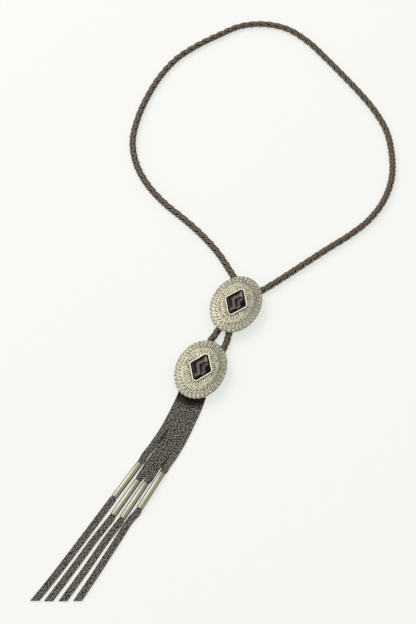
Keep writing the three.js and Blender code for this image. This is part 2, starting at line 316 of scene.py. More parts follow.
def on_fringe(place: Span, height: float = 0.0) -> Vector:
    """Turns a place on the fringe, in strip widths aside and shares of its length down, to metres."""
    across, down = place
    return Vector((
        LOWER_MIDDLE[0] + across * STRIP_WIDTH, LOWER_MIDDLE[1] - down * FRINGE_LENGTH, height
    ))


def curve_through(points: list[Point], per_span: int) -> np.ndarray:
    """Draws a centripetal Catmull-Rom curve through points.

    Args:
        points: The points, in order.
        per_span: Steps between each two of them.

    Returns:
        The curve's points, one row each.
    """
    p = np.array(points, float)
    p = np.vstack([2 * p[0] - p[1], p, 2 * p[-1] - p[-2]])
    out = []
    for i in range(1, len(p) - 2):
        a, b, c, d = p[i - 1 : i + 3]
        t0 = 0.0
        t1 = t0 + math.sqrt(np.linalg.norm(b - a))
        t2 = t1 + math.sqrt(np.linalg.norm(c - b))
        t3 = t2 + math.sqrt(np.linalg.norm(d - c))
        t = np.linspace(t1, t2, per_span, endpoint=False)[:, None]
        ab = (t1 - t) / (t1 - t0) * a + (t - t0) / (t1 - t0) * b
        bc = (t2 - t) / (t2 - t1) * b + (t - t1) / (t2 - t1) * c
        cd = (t3 - t) / (t3 - t2) * c + (t - t2) / (t3 - t2) * d
        abc = (t2 - t) / (t2 - t0) * ab + (t - t0) / (t2 - t0) * bc
        bcd = (t3 - t) / (t3 - t1) * bc + (t - t1) / (t3 - t1) * cd
        out.append((t2 - t) / (t2 - t1) * abc + (t - t1) / (t2 - t1) * bcd)
    return np.vstack([*out, p[-2][None]])


def evenly(line: np.ndarray, step: float) -> np.ndarray:
    """Returns a line again with points evenly spaced, about step apart."""
    along = np.concatenate([[0], np.cumsum(np.linalg.norm(np.diff(line, axis=0), axis=1))])
    at = np.linspace(0, along[-1], max(2, round(along[-1] / step) + 1))
    return np.stack([np.interp(at, along, line[:, k]) for k in range(3)], axis=1)


# ---- Finishes ---------------------------------------------------------------------------------------


@dataclass(frozen=True)
class AntiqueSilver:
    """Cast nickel silver, antiqued in a dark bath and buffed: bright on the high relief, dark below."""

    bright: str = "#d2ccb4"
    dull: str = "#aba58d"
    patina: str = "#3c3628"
    wear_and_painted_shadow: str = "#e0dbc8"  # the bezel, polished by sleeves and fingers
    mottle: float = 4.0 * MM  # size of the cloudy tarnish
    pit: float = 1.2 * MM  # size of the small dents and specks of an old casting
    grit: float = 0.625 * MM

    def make(self) -> bpy.types.Material:
        """Makes the material. It reads the recess of the relief from the piece's own attribute."""
        made, nodes = new_material("antique_silver")
        place, recess = nodes.place(), nodes.attribute("recess")
        cloud = nodes.noise(place, 1 / self.mottle, 6.0, 0.65)
        grit = nodes.noise(place, 1 / self.grit, 4.0, 0.7)
        pits = nodes.noise(place, 1 / self.pit)
        metal = nodes.ramp(cloud, (0.3, self.dull), (0.68, self.bright))
        uneven = nodes.math("MULTIPLY_ADD", cloud, 0.35, 0.7)
        specks = nodes.remap(pits, (0.52, 0.7), (0.0, 0.55))
        depth = nodes.math("MULTIPLY_ADD", recess, uneven, specks, use_clamp=True)
        aged = nodes.mix(depth, metal, srgb(self.patina))
        dents = nodes.bump(pits, 0.55, 0.3 * MM, sunk=True)
        nodes.shade({
            "Base Color": nodes.mix(nodes.remap(recess, (-0.1, -0.5)), aged, srgb(self.wear_and_painted_shadow)),
            "Roughness": nodes.remap(recess, to=(0.4, 0.62)),
            "Normal": nodes.bump(grit, 0.3, 0.2 * MM, over=dents),
            "Metallic": 1.0,
        })
        return made


@dataclass(frozen=True)
class RibbonedStone:
    """Polished dark stone: mauve and brown ribbons run down it beside a black vein, glossy as glass."""

    ground: str = "#0d0a09"
    olive: str = "#1c1b12"
    vein: str = "#070506"
    mauve: str = "#776562"
    rose: str = "#5f4a48"
    grey: str = "#70675b"
    brown: str = "#45372c"
    pale: str = "#8f9a90"
    sway: float = 0.2  # how far the ribbons swing, in half widths of the stone
    swing: Span = (6.0, 0.97)  # how fast they swing down the stone, and from where
    lean: float = -0.05
    ragged: float = 0.34  # how far the noise pushes the ribbons' edges
    # Two pale patches, a strong one near the upper corner of the table and a faint one below: middle,
    # size and strength.
    patches: tuple[tuple[Point, float, float], ...] = (
        ((0.2, 0.6, 0.0), 0.17, 0.7), ((0.42, -0.36, 0.0), 0.13, 0.45)
    )

    def make(self) -> bpy.types.Material:
        """Makes the material. Its pattern lies on the piece's own map, so both stones match."""
        made, nodes = new_material("ribboned_stone")
        place = nodes.add("UVMap", "UV", uv_map="face")
        aside, down, _ = nodes.split(place)
        warp = nodes.noise(place, 3.1, 4.0, 0.6)
        swing = nodes.math("SINE", nodes.math("MULTIPLY_ADD", down, *self.swing))
        bent = nodes.math("MULTIPLY_ADD", swing, self.sway, aside)
        leaning = nodes.math("MULTIPLY_ADD", down, self.lean, bent)
        across = nodes.math("MULTIPLY_ADD", warp, self.ragged, leaning)
        colour = nodes.ramp(
            nodes.remap(across, (-0.83, 1.17)),
            (0.0, self.ground), (0.2, self.olive), (0.3, self.ground), (0.355, self.rose),
            (0.375, self.brown), (0.39, self.mauve), (0.45, self.mauve), (0.475, self.grey),
            (0.5, self.grey), (0.52, self.vein), (0.59, self.vein), (0.62, self.brown),
            (0.66, self.rose), (0.69, self.brown), (0.74, self.grey), (0.81, self.ground),
        )
        for middle, size, strength in self.patches:
            away = nodes.vector("DISTANCE", "Value", place, middle)
            torn = nodes.math("MULTIPLY_ADD", warp, 0.3, away)
            edge = nodes.remap(torn, (size + 0.1, size + 0.18), (strength, 0.0))
            colour = nodes.mix(edge, colour, srgb(self.pale))
        nodes.shade({
            "Base Color": nodes.mix(nodes.attribute("table"), srgb(self.ground), colour),
            "Roughness": 0.05,
            "Specular IOR Level": 0.12,
        })
        return made


@dataclass(frozen=True)
class LaceLeather:
    """Dyed leather lace, cut square: a waxed olive-brown face, mauve raw edges, and painted shade, nearly
    black, where it dips under the others.
    """

    face: str = "#6f614a"
    dark: str = "#40352a"
    edge: str = "#d4c0b8"
    # painted shade where a lace dips under the others, and on the core
    dip_shade: str = "#0c0805"
    grain: float = 0.8 * MM

    def make(self) -> bpy.types.Material:
        """Makes the material. It reads from attributes how far across a point is, and how deep it lies,
        which sets its painted shade.
        """
        made, nodes = new_material("lace_leather")
        fleck = nodes.noise(nodes.place(), 1 / self.grain, 4.0, 0.6)
        face = nodes.ramp(fleck, (0.34, self.dark), (0.64, self.face))
        skin = nodes.mix(nodes.remap(nodes.attribute("across"), (0.72, 0.96)), face, srgb(self.edge))
        # Painted shade: the deeper a point lies in the braid, the darker it is painted.
        sunk = nodes.remap(nodes.attribute("deep"), (0.24, 0.62))
        nodes.shade({
            "Base Color": nodes.mix(sunk, skin, srgb(self.dip_shade)),
            "Roughness": 0.5,
            "Specular IOR Level": nodes.remap(sunk, to=(0.3, 0.0)),
            "Normal": nodes.bump(fleck, 0.35, 0.25 * MM),
        })
        return made


@dataclass(frozen=True)
class PebbledLeather:
    """Full-grain leather tumbled until it pebbles: soft bumps about a millimetre across."""

    crown: str = "#a0978a"
    face: str = "#575044"
    crease: str = "#1b1610"
    painted_shade: str = "#14100b"  # painted shade in the slits, and the concho's painted shadow on the strap
    pebble: float = 0.95 * MM
    wander: float = 0.35 * MM  # how far the pebbles' outlines stray

    def make(self) -> bpy.types.Material:
        """Makes the material, with the pebbles as colour and bump."""
        made, nodes = new_material("pebbled_leather")
        place = nodes.place()
        stray = nodes.noise(place, 700.0, out="Color")
        moved = nodes.vector("MULTIPLY_ADD", "Vector", stray, (self.wander,) * 3, place)
        height = nodes.add(
            "TexVoronoi", "Distance", {"Vector": moved, "Scale": 1 / self.pebble, "Smoothness": 0.2},
            voronoi_dimensions="2D", feature="SMOOTH_F1",
        )
        colour = nodes.ramp(height, (0.12, self.crown), (0.38, self.face), (0.62, self.crease))
        broad = nodes.remap(nodes.noise(place, 260.0, 3.0), (0.4, 0.7), (0.0, 0.12))
        shade = nodes.mix(broad, colour, srgb(self.crease))
        # The dark attribute paints shade into the slits and the concho's shadow onto the strap.
        nodes.shade({
            "Base Color": nodes.mix(nodes.attribute("dark"), shade, srgb(self.painted_shade)),
            "Roughness": 0.55,
            "Specular IOR Level": 0.22,
            "Normal": nodes.bump(height, 0.9, 0.4 * MM, sunk=True),
        })
        return made


@dataclass(frozen=True)
class RawLeather:
    """The cut edge and the flesh side of the strap: mauve-brown, matt and fibrous."""

    light: str = "#93807c"
    dark: str = "#64565a"

    def make(self) -> bpy.types.Material:
        """Makes the material."""
        made, nodes = new_material("raw_leather")
        fibre = nodes.noise(nodes.place(), 1800.0, 5.0, 0.7)
        nodes.shade({
            "Base Color": nodes.ramp(fibre, (0.35, self.dark), (0.65, self.light)),
            "Roughness": 0.85,
            "Sheen Weight": 0.2,
            "Normal": nodes.bump(fibre, 0.5, 0.2 * MM),
        })
        return made


@dataclass(frozen=True)
class SatinTube:
    """Drawn nickel silver tube, wiped with fine abrasive: a satin grain along its length."""

    light: str = "#c2bea6"
    dull: str = "#9f9a82"
    dark: str = "#2a271c"  # painted shade low on both sides, and the dark seam
    grain: Point = (90.0, 2.5, 1.0)  # streaks round the tube and along it

    def make(self) -> bpy.types.Material:
        """Makes the material. The grain follows the tube on its own map."""
        made, nodes = new_material("satin_tube")
        place = nodes.add("UVMap", "UV", uv_map="tube")
        stretched = nodes.add("Mapping", "Vector", {"Vector": place, "Scale": self.grain})
        grain = nodes.noise(stretched, 1.0, 4.0, 0.6)
        colour = nodes.ramp(grain, (0.3, self.dull), (0.7, self.light))
        # The low attribute holds painted shade low on both sides, and the dark seam.
        nodes.shade({
            "Base Color": nodes.mix(nodes.attribute("low"), colour, srgb(self.dark)),
            "Roughness": nodes.remap(grain, to=(0.36, 0.52)),
            "Normal": nodes.bump(grain, 0.15, 0.05 * MM),
            "Metallic": 1.0,
        })
        return made


@dataclass(frozen=True)
class StampedMetal:
    """Bent and tumbled clip metal behind the conchos: plain, greyish and a little scratched."""

    light: str = "#a9a598"
    dull: str = "#86826f"

    def make(self) -> bpy.types.Material:
        """Makes the material."""
        made, nodes = new_material("stamped_metal")
        cloud = nodes.noise(nodes.place(), 420.0, 6.0, 0.7)
        nodes.shade({
            "Base Color": nodes.ramp(cloud, (0.35, self.dull), (0.65, self.light)),
            "Roughness": nodes.remap(cloud, to=(0.3, 0.5)),
            "Metallic": 1.0,
        })
        return made


@dataclass(frozen=True)
class TableTop:
    """The photographer's table: a matt sheet of opal acrylic with a little light coming up through it."""

    colour: str = "#9b918e"
    glow: str = "#f4faf6"
    glow_strength: float = 0.68

    def make(self) -> bpy.types.Material:
        """Makes the material."""
        made, nodes = new_material("table_top")
        nodes.shade({
            "Base Color": srgb(self.colour),
            "Roughness": 0.9,
            "Specular IOR Level": 0.1,
            "Emission Color": srgb(self.glow),
            "Emission Strength": self.glow_strength,
        })
        return made


# ---- Camera, table and light ------------------------------------------------------------------------


@dataclass
class Studio:
    """Camera, pale table and soft light."""

    azimuth: float = 24.7
    elevation: float = 62.0
    distance: float = 0.8
    target: Point = (-0.01561, -0.00979, 0.0)
    lens: float = 70.36  # mm, on a sensor as long as the picture's long side
    sensor: float = 36.0
    clip: Span = (0.01, 20.0)
    table: TableTop = field(default_factory=TableTop)
    table_size: float = 6.0
    table_drop: float = 0.05 * MM  # below the tie, so that no two faces share a plane
    room: str = "#f1f5fa"
    horizon: float = 0.45  # strength of the room's light, low down and overhead
    zenith: float = 0.8
    window: float = 0.4  # what the bright side adds
    window_edge: float = 0.55  # cosine of the angle at which it ends
    bright_side: Point = (-0.62, -0.12, 0.78)
    lamp_place: Point = (-0.85, 0.35, 1.1)
    lamp_colour: Point = (1.0, 0.965, 0.91)
    lamp_size: float = 0.8
    lamp_power: float = 7.5

    def place_camera(self) -> None:
        """Places the camera where the photograph was taken from."""
        a, e = math.radians(self.azimuth), math.radians(self.elevation)
        back = Vector((math.sin(a) * math.cos(e), -math.cos(a) * math.cos(e), math.sin(e)))
        data = bpy.data.cameras.new("photo_camera")
        data.lens, data.sensor_width = self.lens, self.sensor
        data.clip_start, data.clip_end = self.clip
        camera = bpy.data.objects.new("photo_camera", data)
        camera.location = Vector(self.target) + back * self.distance
        camera.rotation_mode = "QUATERNION"
        camera.rotation_quaternion = (-back).to_track_quat("-Z", "Y")
        bpy.context.scene.collection.objects.link(camera)
        bpy.context.scene.camera = camera

    def lay_table(self) -> None:
        """Lays the table top that the tie lies on."""
        deselect()
        bpy.ops.mesh.primitive_plane_add(size=self.table_size, location=(0, 0, -self.table_drop))
        top = bpy.context.active_object
        top.name = "table_top"
        top.data.materials.append(self.table.make())

    def light(self) -> None:
        """Makes a pale room, brightest overhead and to the left, and hangs one large soft lamp there."""
        scene = bpy.context.scene
        scene.view_settings.view_transform = "Standard"
        scene.world = bpy.data.worlds.new("pale_room")
        scene.world.use_nodes = True
        nodes = Nodes(scene.world.node_tree)
        way = nodes.add("TexCoord", "Generated")
        height = nodes.split(way)[2]
        overhead = nodes.remap(height, (0.0, 0.9), (self.horizon, self.zenith))
        aim = nodes.vector("DOT_PRODUCT", "Value", way, tuple(Vector(self.bright_side).normalized()))
        lobe = nodes.remap(
            aim, (self.window_edge, 1.0), (0.0, self.window), interpolation_type="SMOOTHSTEP"
        )
        backdrop = next(n for n in nodes.tree.nodes if n.type == "BACKGROUND")
        nodes.feed(backdrop, {"Color": srgb(self.room), "Strength": nodes.math("ADD", overhead, lobe)})
        data = bpy.data.lights.new("key_light", "AREA")
        data.shape, data.size, data.energy = "SQUARE", self.lamp_size, self.lamp_power
        data.color = self.lamp_colour
        lamp = bpy.data.objects.new("key_light", data)
        lamp.location = self.lamp_place
        lamp.rotation_mode = "QUATERNION"
        lamp.rotation_quaternion = (-Vector(self.lamp_place)).to_track_quat("-Z", "Y")
        scene.collection.objects.link(lamp)


# ---- Conchos ----------------------------------------------------------------------------------------


class Ring(Enum):
    """What a ring of the concho's surface belongs to, and what its value tells."""

    SEAT = "seat: 0 near its middle, 1 at the bezel"
    BEZEL_INNER = "inner wall of the bezel: share of its height"
    BEZEL_OUTER = "outer wall of the bezel: share of its height"
    FIELD = "round the bezel: share of the way to the first full oval"
    FACE = "face: share of the oval"
    RIM = "rim: share of its thickness"
    UNDER = "underside: share of the oval"


@dataclass(frozen=True)
class Relief:
    """The struck pattern: how many stamps it has and where its rings lie, as shares of the oval."""

    scallops: int = 40
    rays: int = 36
    border: float = 0.95
    punches: float = 0.94
    groove: float = 0.898
    pearls: float = 0.873
    leaves: Span = (0.79, 0.855)
    marks: float = 0.772
    plain: float = 0.68
    near: Span = (0.022, 0.0042)  # what counts as round a point: outwards, and along the ring
    full_tarnish: float = 0.12  # mm that a point lies lower than what is round it

    def height(self, share: np.ndarray, turn: np.ndarray, gap: np.ndarray) -> np.ndarray:
        """Gives the height of the pattern over the dome, in millimetres.

        Args:
            share: Share of the oval, 1 at the rim.
            turn: Share of the way round the rim.
            gap: Share between the bezel and the point.

        Returns:
            The height at each point.
        """
        lobe = (turn * self.scallops) % 1 - 0.5  # across one scallop
        notch = (turn * self.scallops + 0.5) % 1 - 0.5  # across the gap between two
        ray = (turn * self.rays) % 1 - 0.5
        # The border: a raised lobe in each scallop with a crescent punched into it.
        out = (share - self.border) / 0.05
        crescent = furrow((np.hypot(lobe / 0.3, (out + 0.25) / 0.62) - 1) / 0.28)
        height = 0.34 * mound(lobe / 0.5, out / 1.15) ** 0.6
        height -= 0.16 * crescent * smooth(0.35, -0.25, out)
        height -= 0.3 * mound(notch / 0.24, (share - self.punches) / 0.032)
        # A groove, then a row of pearls.
        height -= 0.08 * furrow((share - self.groove) / 0.008)
        height += 0.2 * mound(lobe / 0.3, (share - self.pearls) / 0.018) ** 0.5
        # The band of leaves: pointed outwards, with a vein, and a bar between them.
        leaf = (share - self.leaves[0]) / (self.leaves[1] - self.leaves[0])
        inside = (leaf > 0) & (leaf < 1)
        swell = np.clip(np.sin(np.pi * np.clip(leaf, 0, 1) ** 0.7), 0, 1)
        body = mound(lobe / (0.4 * swell * inside + 0.02)) ** 0.6 * inside
        height += (0.24 - 0.14 * furrow(lobe / 0.05)) * body
        # A fine row of punched marks, and inside them the plain raised ring.
        height -= 0.37 * mound(notch / 0.3, (share - self.marks) / 0.02)
        band = mound((share - self.plain) / 0.086)
        height += 0.2 * band**0.9 - 0.15 * band * np.cos(2 * np.pi * lobe) ** 4
        # Short rays that fade away from the bezel.
        ridge = mound(ray / 0.44) ** 0.8
        height += (0.24 * ridge - 0.11) * smooth(0.17, 0.05, gap) * smooth(0.0, 0.02, gap)
        return height

    def tarnish(self, share: np.ndarray, turn: np.ndarray, gap: np.ndarray) -> np.ndarray:
        """Tells how much tarnish stays at each point, for the same points as height.

        Returns:
            The tarnish, about 1 where it is darkest. Well rubbed metal may come out below 0.
        """
        out, on = self.near
        ring = [
            self.height(share + out * math.cos(q), turn + on * math.sin(q), gap + out * math.cos(q))
            for q in np.arange(0, 2 * math.pi, math.pi / 4)
        ]
        lower = np.mean(ring, axis=0) - self.height(share, turn, gap)
        dark = np.clip(lower / self.full_tarnish, 0, 1)
        # The border is rubbed most, and the flat between the rays and the ring least.
        dark *= 1 - 0.55 * smooth(0.76, 0.9, share)
        dark += 0.17 * smooth(0.66, 0.6, share) * smooth(0.0, 0.05, gap)
        return dark - 0.1 * smooth(0.7, 0.76, share) - 0.05 * smooth(0.93, 0.97, share)


@dataclass
class Concho:
    """A domed oval silver casting with struck relief, a bezel and a lozenge stone."""

    name: str
    stone_name: str
    middle: tuple[float, float]
    turn: float
    silver: bpy.types.Material
    stone: bpy.types.Material
    length: float = CONCHO_LENGTH
    width: float = CONCHO_WIDTH
    relief: Relief = field(default_factory=Relief)
    rim_height: float = 6.0 * MM
    thickness: float = 0.8 * MM
    rise: float = 2.2 * MM
    scallop_depth: float = 0.008  # share of the oval
    edge_drop: float = 0.1 * MM  # where the rim's upper edge is rounded
    steps: int = 720  # points round a ring
    full_oval: float = 0.6  # share of the oval from which the face's rings are whole ovals
    stone_length: float = 20.8 * MM
    stone_width: float = 13.9 * MM
    stone_corner: float = 1.3 * MM
    girdle: float = 0.85 * MM  # height of the stone's upright side
    facets: tuple[Span, ...] = ((0.55 * MM, 0.5 * MM), (0.7 * MM, 0.24 * MM))  # inwards and up
    clearance: float = 0.3 * MM
    bezel_wall: float = 0.85 * MM
    bezel_height: float = 0.85 * MM
    seat_depth: float = 0.7 * MM
    polish: float = -0.5  # recess of the bezel: below 0 no speck shows, and the rubbed colour does

    def dome(self, share: np.ndarray) -> np.ndarray:
        """Returns the dome's height over the rim at a share of the oval; its middle is flat."""
        return self.rise * (1 - (2 * np.clip(share, 0.5, 1) - 1) ** 2)

    def lozenge(self, angle: np.ndarray, grow: float) -> np.ndarray:
        """Finds where rays from the middle leave the stone's outline, a rhombus with rounded corners.

        Args:
            angle: Angles on the oval.
            grow: How much the outline is grown on all sides.

        Returns:
            The share of the oval at which each ray leaves it.
        """
        r = self.stone_corner
        side = math.hypot(self.stone_width, self.stone_length)
        # The rounded outline is a smaller rhombus, grown by the radius of its corners.
        tip = np.array([self.stone_width / 2 - r * side / self.stone_length, 0])
        top = np.array([0, self.stone_length / 2 - r * side / self.stone_width])
        flank = top - tip
        ray = np.abs(np.stack([np.cos(angle) * self.width / 2, np.sin(angle) * self.length / 2], 1))
        low, high = np.zeros(len(angle)), np.ones(len(angle))
        for _ in range(24):
            share = (low + high) / 2
            point = ray * share[:, None]
            along = np.clip((point - tip) @ flank / (flank @ flank), 0, 1)
            away = np.linalg.norm(point - tip - along[:, None] * flank, axis=1)
            within = point[:, 0] / tip[0] + point[:, 1] / top[1] < 1
            short = within | (away < r + grow)
            low, high = np.where(short, share, low), np.where(short, high, share)
        return low

    def rings(self) -> list[tuple[Ring, float]]:
        """Lists the casting's rings from the seat over the face and round the rim to the underside."""
        face = (np.linspace(0.6, 0.64, 6), np.linspace(0.65, 0.76, 12), np.linspace(0.766, 0.998, 42))
        values = {
            Ring.SEAT: (0.0, 1.0),
            Ring.BEZEL_INNER: (0.0, 0.8, 1.0),
            Ring.BEZEL_OUTER: (1.0, 0.8, 0.0),
            Ring.FIELD: [k / 10 for k in range(1, 10)],
            Ring.FACE: np.concatenate(face),
            Ring.RIM: (0.9, 0.5, 0.1),
            Ring.UNDER: (0.965, 0.9, 0.8, 0.7, 0.6, 0.5, 0.25),
        }
        return [(kind, float(value)) for kind, some in values.items() for value in some]

    def angles(self, turn: np.ndarray) -> np.ndarray:
        """Returns the oval's angle at shares of the way round the rim, so that scallops are as wide."""
        fine = np.linspace(0, 2 * np.pi, 4001)
        rate = np.hypot(self.width / 2 * np.sin(fine), self.length / 2 * np.cos(fine))
        way = np.concatenate([[0], np.cumsum((rate[1:] + rate[:-1]) / 2)])
        return np.interp(turn, way / way[-1], fine)

    def cast(self) -> bpy.types.Object:
        """Models the casting: rings extruded one from the other, then laid on the surface."""
        rings = self.rings()
        deselect()
        bpy.ops.mesh.primitive_circle_add(vertices=self.steps, radius=0.2, location=(0, 0, 0))
        made = bpy.context.active_object
        made.name = made.data.name = self.name
        bpy.ops.object.mode_set(mode="EDIT")
        bpy.ops.mesh.select_all(action="SELECT")
        for _ in rings[1:]:
            bpy.ops.mesh.extrude_region_move(TRANSFORM_OT_translate={"value": (0, 0, MM)})
        bpy.ops.mesh.edge_face_add()
        bpy.ops.object.mode_set(mode="OBJECT")
        start = coords(made)
        ring = np.round(start[:, 2] / MM).astype(int)
        turn = np.arctan2(start[:, 1], start[:, 0]) / (2 * np.pi) % 1
        angle = self.angles(turn)
        top = self.rim_height + self.thickness
        foot = top + self.rise
        rim = 1 - self.scallop_depth * (1 + np.cos(2 * np.pi * self.relief.scallops * turn))
        inner = self.lozenge(angle, self.clearance)
        outer = self.lozenge(angle, self.clearance + self.bezel_wall)
        share, height, recess = np.zeros(len(start)), np.zeros(len(start)), np.zeros(len(start))
        for number, (kind, value) in enumerate(rings):
            at = ring == number
            wall = (outer - inner)[at]
            crest = kind in (Ring.BEZEL_INNER, Ring.BEZEL_OUTER) and value == 1
            if kind is Ring.SEAT:
                share[at], height[at] = inner[at] * (0.4 + 0.6 * value), foot - self.seat_depth
                recess[at] = 0.8
            elif kind is Ring.BEZEL_INNER:
                share[at] = inner[at] + (0.08 if crest else 0) * wall
                height[at] = foot - self.seat_depth + value * (self.bezel_height + self.seat_depth)
            elif kind is Ring.BEZEL_OUTER:
                share[at] = outer[at] - (0.2 if crest else 0.08 * value) * wall
                height[at] = foot + value * self.bezel_height
            elif kind is Ring.FIELD:
                share[at] = outer[at] + (self.full_oval - outer[at]) * value
            elif kind is Ring.FACE:
                share[at] = value
            elif kind is Ring.RIM:
                share[at], height[at] = rim[at], self.rim_height + value * self.thickness
                recess[at] = 0.25
            else:
                share[at] = value
                below_seat = self.seat_depth * smooth(0.62, 0.5, value)
                height[at] = self.rim_height + self.dome(value) - below_seat
                recess[at] = 0.45
            if kind in (Ring.BEZEL_INNER, Ring.BEZEL_OUTER):
                recess[at] = 0.4 if value == 0 else self.polish * crest
            if kind in (Ring.FIELD, Ring.FACE):
                gap = share[at] - outer[at]
                raised = self.relief.height(share[at], turn[at], gap)
                tarnish = self.relief.tarnish(share[at], turn[at], gap)
                recess[at] = np.maximum(tarnish, 0.4 * smooth(0.02, 0.0, gap))
                share[at] *= 1 - (1 - rim[at]) * smooth(0.9, 1.0, share[at])
                edge = self.edge_drop * smooth(0.985, 1.0, share[at])
                height[at] = top + self.dome(share[at]) + raised * MM - edge
        x = share * np.cos(angle) * self.width / 2
        y = share * np.sin(angle) * self.length / 2
        set_coords(made, self.placed(np.stack([x, y, height], axis=1)))
        paint(made, "recess", recess)
        return made

    def placed(self, points: np.ndarray) -> np.ndarray:
        """Turns and moves points from the concho's own frame to its place on the tie."""
        c, s = math.cos(self.turn), math.sin(self.turn)
        return np.stack([
            self.middle[0] + points[:, 0] * c - points[:, 1] * s,
            self.middle[1] + points[:, 0] * s + points[:, 1] * c,
            points[:, 2],
        ], axis=1)

    def cut_stone(self) -> bpy.types.Object:
        """Models the stone: a lozenge with rounded corners, sloping facets and a flat table."""
        base = self.rim_height + self.thickness + self.rise - self.seat_depth + self.clearance
        deselect()
        bpy.ops.mesh.primitive_circle_add(
            vertices=4, radius=1.0, fill_type="NGON", location=(0, 0, base)
        )
        made = bpy.context.active_object
        made.name = made.data.name = self.stone_name
        bpy.ops.object.transform_apply(location=True, rotation=True, scale=True)
        bpy.ops.object.mode_set(mode="EDIT")
        bpy.ops.mesh.select_all(action="SELECT")
        bpy.ops.transform.resize(value=(self.stone_width / 2, self.stone_length / 2, 1))
        bpy.ops.mesh.extrude_region_move(TRANSFORM_OT_translate={"value": (0, 0, self.girdle)})
        for inwards, up in self.facets:
            bpy.ops.mesh.inset(thickness=inwards, depth=up)
        bpy.ops.mesh.select_all(action="SELECT")
        bpy.ops.mesh.normals_make_consistent(inside=False)
        # The two sharp corners and the two wide ones get the same radius.
        slope = self.stone_width / self.stone_length
        for sharp, offset in ((True, self.stone_corner / slope), (False, self.stone_corner * slope)):
            mesh = bmesh.from_edit_mesh(made.data)
            for edge in mesh.edges:
                a, b = (v.co for v in edge.verts)
                upright = abs(a.z - b.z) > 0.8 * self.girdle and (a.xy - b.xy).length < 0.01 * MM
                edge.select_set(upright and (abs(a.y) > abs(a.x)) == sharp)
            bmesh.update_edit_mesh(made.data)
            bpy.ops.mesh.bevel(offset=offset, segments=5, affect="EDGES")
        bpy.ops.object.mode_set(mode="OBJECT")
        local = coords(made)
        layer = made.data.uv_layers.new(name="face")
        for loop in made.data.loops:
            p = local[loop.vertex_index]
            layer.data[loop.index].uv = (p[0] / (self.stone_width / 2), p[1] / (self.stone_length / 2))
        table = local[:, 2] > local[:, 2].max() - 0.2 * MM
        paint(made, "table", table.astype(float))
        set_coords(made, self.placed(local))
        modify(made, "BEVEL", width=0.06 * MM, segments=2, limit_method="ANGLE", angle_limit=0.25)
        return made

    def build(self) -> list[bpy.types.Object]:
        """Models and dresses the casting and its stone."""
        casting = self.cast()
        casting.data.materials.append(self.silver)
        shade_smooth(casting, 50)
        gem = self.cut_stone()
        gem.data.materials.append(self.stone)
        declare(casting, self.name)
        declare(gem, self.stone_name)
        return [casting, gem]


# ---- Cord -------------------------------------------------------------------------------------------


